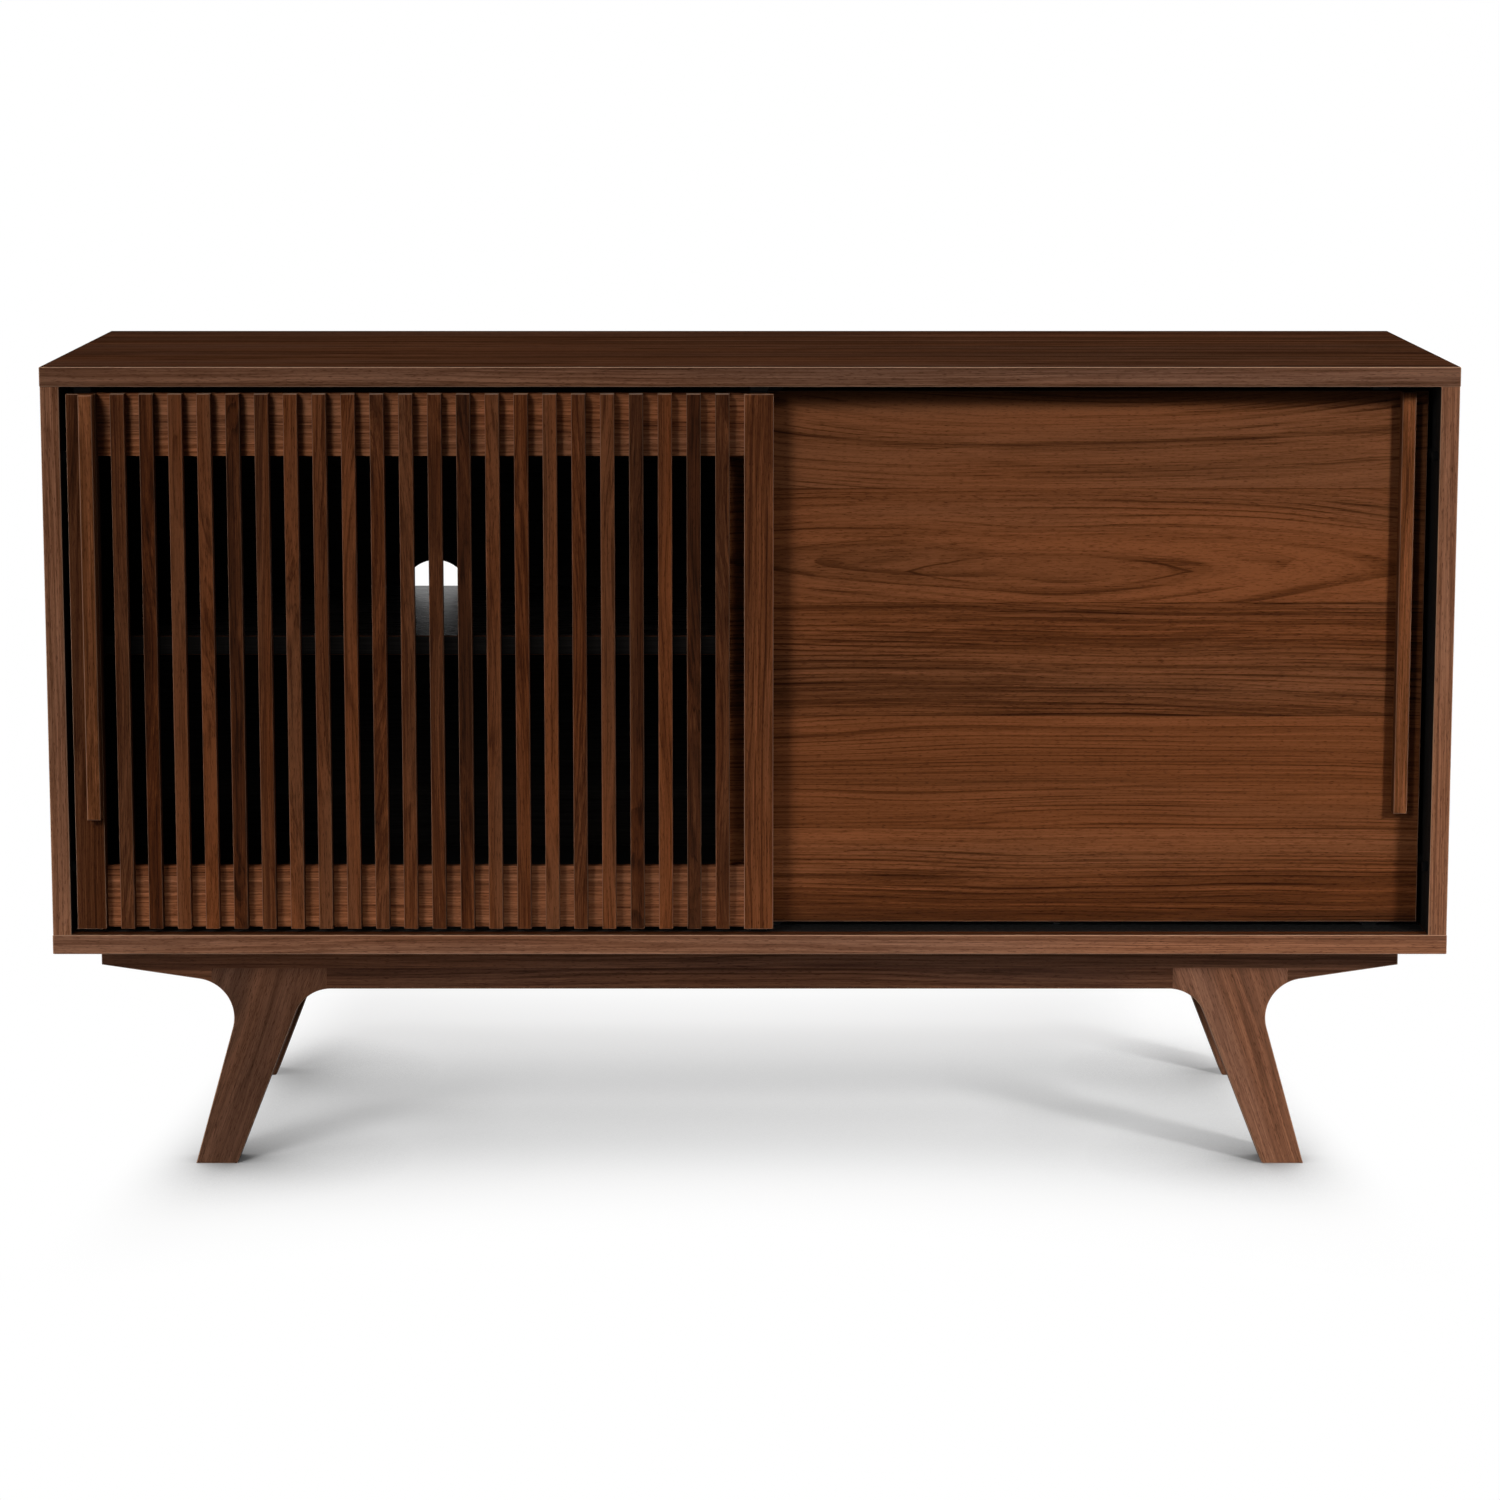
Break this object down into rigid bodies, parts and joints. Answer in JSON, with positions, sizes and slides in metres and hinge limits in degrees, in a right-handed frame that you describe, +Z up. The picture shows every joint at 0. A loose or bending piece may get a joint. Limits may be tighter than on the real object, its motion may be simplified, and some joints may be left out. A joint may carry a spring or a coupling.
{
  "type": "media cabinet",
  "caption": "Walnut media cabinet with a slatted door and a plain door that slide past each other in a double track, shelves behind, and a base of splayed tapered legs.",
  "frame": {"origin": "on the floor, under the middle of the overall box", "axes": "+X to the right seen from the front, +Y from the front to the back (the doors face -Y), +Z up"},
  "size_m": [1.346, 0.466, 0.787],
  "materials": {
    "case_walnut": "oiled walnut, satin",
    "slat_walnut": "oiled walnut, satin",
    "door_walnut": "oiled walnut, grain across, satin",
    "leg_walnut": "oiled walnut, satin",
    "interior_board": "black-stained board, semi-gloss",
    "back_board": "veneered board, dark walnut outside, black inside",
    "track_black": "black extrusion, satin",
    "nylon": "black nylon",
    "rubber": "soft matt",
    "steel": "zinc plated",
    "brass_insert": "machined",
    "dowel_beech": "raw beech"
  },
  "bodies": {
    "cabinet": {"top_panel": "case_walnut", "bottom_panel": "case_walnut", "left_side": "case_walnut", "right_side": "case_walnut", "center_divider": "interior_board", "left_back_panel": "back_board", "right_back_panel": "back_board", "left_shelf": "interior_board", "right_shelf": "interior_board", "shelf_pins": "steel", "top_track": "track_black", "bottom_track": "track_black", "track_screws": "steel", "door_bumpers": "rubber", "case_dowels": "dowel_beech", "back_screws": "steel", "front_top_rail": "leg_walnut", "front_stretcher": "leg_walnut", "front_left_leg": "leg_walnut", "front_right_leg": "leg_walnut", "front_left_wing": "leg_walnut", "front_right_wing": "leg_walnut", "rear_top_rail": "leg_walnut", "rear_stretcher": "leg_walnut", "rear_left_leg": "leg_walnut", "rear_right_leg": "leg_walnut", "rear_left_wing": "leg_walnut", "rear_right_wing": "leg_walnut", "left_cross_rail": "leg_walnut", "right_cross_rail": "leg_walnut", "base_dowels": "dowel_beech", "base_bolts": "steel", "base_inserts": "brass_insert"},
    "slatted_door": {"slatted_door_outer_stile": "slat_walnut", "slatted_door_inner_stile": "slat_walnut", "slatted_door_top_rail": "slat_walnut", "slatted_door_bottom_rail": "slat_walnut", "slatted_door_slats": "slat_walnut", "slatted_door_handle": "slat_walnut", "slatted_door_handle_screws": "steel", "slatted_door_top_guides": "nylon", "slatted_door_roller_housings": "nylon", "slatted_door_roller_axles": "steel"},
    "solid_door": {"solid_door_panel": "door_walnut", "solid_door_handle": "slat_walnut", "solid_door_handle_screws": "steel", "solid_door_top_guides": "nylon", "solid_door_roller_housings": "nylon", "solid_door_roller_axles": "steel"},
    "slatted_door_outer_roller": {"slatted_door_outer_roller": "nylon"},
    "slatted_door_inner_roller": {"slatted_door_inner_roller": "nylon"},
    "solid_door_outer_roller": {"solid_door_outer_roller": "nylon"},
    "solid_door_inner_roller": {"solid_door_inner_roller": "nylon"}
  },
  "joints": [
    {"name": "slatted_door_slide", "type": "slide", "parent": "cabinet", "child": "slatted_door", "axis": [1, 0, 0], "range_m": [0, 0.6265]},
    {"name": "solid_door_slide", "type": "slide", "parent": "cabinet", "child": "solid_door", "axis": [-1, 0, 0], "range_m": [0, 0.6265]},
    {"name": "slatted_door_outer_roller_spin", "type": "hinge", "parent": "slatted_door", "child": "slatted_door_outer_roller", "pos_m": [-0.635, -0.205, 0.2438], "axis": [0, 1, 0], "continuous": true},
    {"name": "slatted_door_inner_roller_spin", "type": "hinge", "parent": "slatted_door", "child": "slatted_door_inner_roller", "pos_m": [0.0085, -0.205, 0.2438], "axis": [0, 1, 0], "continuous": true},
    {"name": "solid_door_outer_roller_spin", "type": "hinge", "parent": "solid_door", "child": "solid_door_outer_roller", "pos_m": [0.604, -0.177, 0.2438], "axis": [0, 1, 0], "continuous": true},
    {"name": "solid_door_inner_roller_spin", "type": "hinge", "parent": "solid_door", "child": "solid_door_inner_roller", "pos_m": [0.0225, -0.177, 0.2438], "axis": [0, 1, 0], "continuous": true}
  ],
  "couplings": [
    {"joint": "slatted_door_outer_roller_spin", "follows": "slatted_door_slide", "rad_per_m": 111.11},
    {"joint": "slatted_door_inner_roller_spin", "follows": "slatted_door_slide", "rad_per_m": 111.11},
    {"joint": "solid_door_outer_roller_spin", "follows": "solid_door_slide", "rad_per_m": -111.11},
    {"joint": "solid_door_inner_roller_spin", "follows": "solid_door_slide", "rad_per_m": -111.11}
  ]
}
